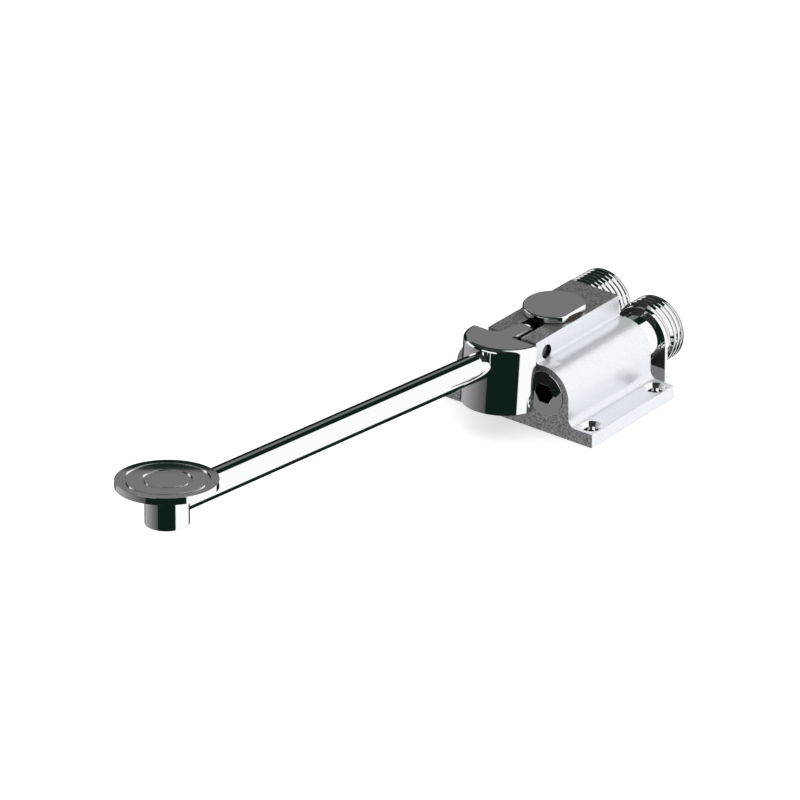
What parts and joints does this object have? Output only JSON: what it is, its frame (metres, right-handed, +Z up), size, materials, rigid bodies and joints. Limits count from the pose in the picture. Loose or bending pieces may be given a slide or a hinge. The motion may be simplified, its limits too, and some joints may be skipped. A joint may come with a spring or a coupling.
{
  "type": "foot pedal tap valve",
  "caption": "Floor-mounted foot pedal tap valve with side-by-side threaded pipe connections, a capped valve tower and a sprung lever rod that ends in a round grooved pedal.",
  "frame": {"origin": "centre of the four screw holes, on the flat underside of the base; the valve's axis stands on it", "axes": "+Z up, out of the floor; the pedal lever points along -Y and the pipe connections along +Y; +X is the right side seen from the pedal"},
  "size_m": [0.0604, 0.2352, 0.0475],
  "materials": {
    "satin_body": "satin",
    "polished_chrome": "polished",
    "turned_brass": "satin",
    "spring_steel": "satin",
    "black_rubber": "matte",
    "brown_fibre": "matte"
  },
  "bodies": {
    "housing": {"valve_body": "satin_body", "rear_plate": "polished_chrome", "front_plug_right": "polished_chrome", "front_plug_left": "polished_chrome", "plug_seal_right": "black_rubber", "plug_seal_left": "black_rubber", "connector_right": "polished_chrome", "connector_left": "polished_chrome", "connector_seal_right": "black_rubber", "connector_seal_left": "black_rubber", "spacer_sleeve_right": "polished_chrome", "spacer_sleeve_left": "polished_chrome", "valve_seat": "turned_brass", "gland_bush": "turned_brass", "gland_o_ring": "black_rubber", "stem_o_ring": "black_rubber", "valve_spring": "spring_steel", "bonnet_cap": "polished_chrome", "bonnet_seal": "brown_fibre", "pivot_pin": "spring_steel"},
    "lever": {"lever_head": "polished_chrome", "pedal_rod": "polished_chrome", "rod_grub_screw": "spring_steel", "pedal_boss": "polished_chrome", "pedal_plate": "polished_chrome"},
    "plunger": {"valve_stem": "spring_steel", "seat_washer": "black_rubber", "washer_screw": "turned_brass", "lift_washer": "spring_steel", "stem_nut": "spring_steel"}
  },
  "joints": [
    {"name": "pedal_hinge", "type": "hinge", "parent": "housing", "child": "lever", "pos_m": [0, -0.01555, 0.024], "axis": [1, 0, 0], "range_deg": [0, 7], "stiffness_Nm_per_rad": 3.6, "springref_deg": -14.9},
    {"name": "stem_lift", "type": "slide", "parent": "housing", "child": "plunger", "axis": [0, 0, 1], "range_m": [0, 0.0019], "deforming": ["valve_spring"]}
  ],
  "couplings": [
    {"joint": "stem_lift", "follows": "pedal_hinge", "m_per_rad": 0.01555}
  ]
}
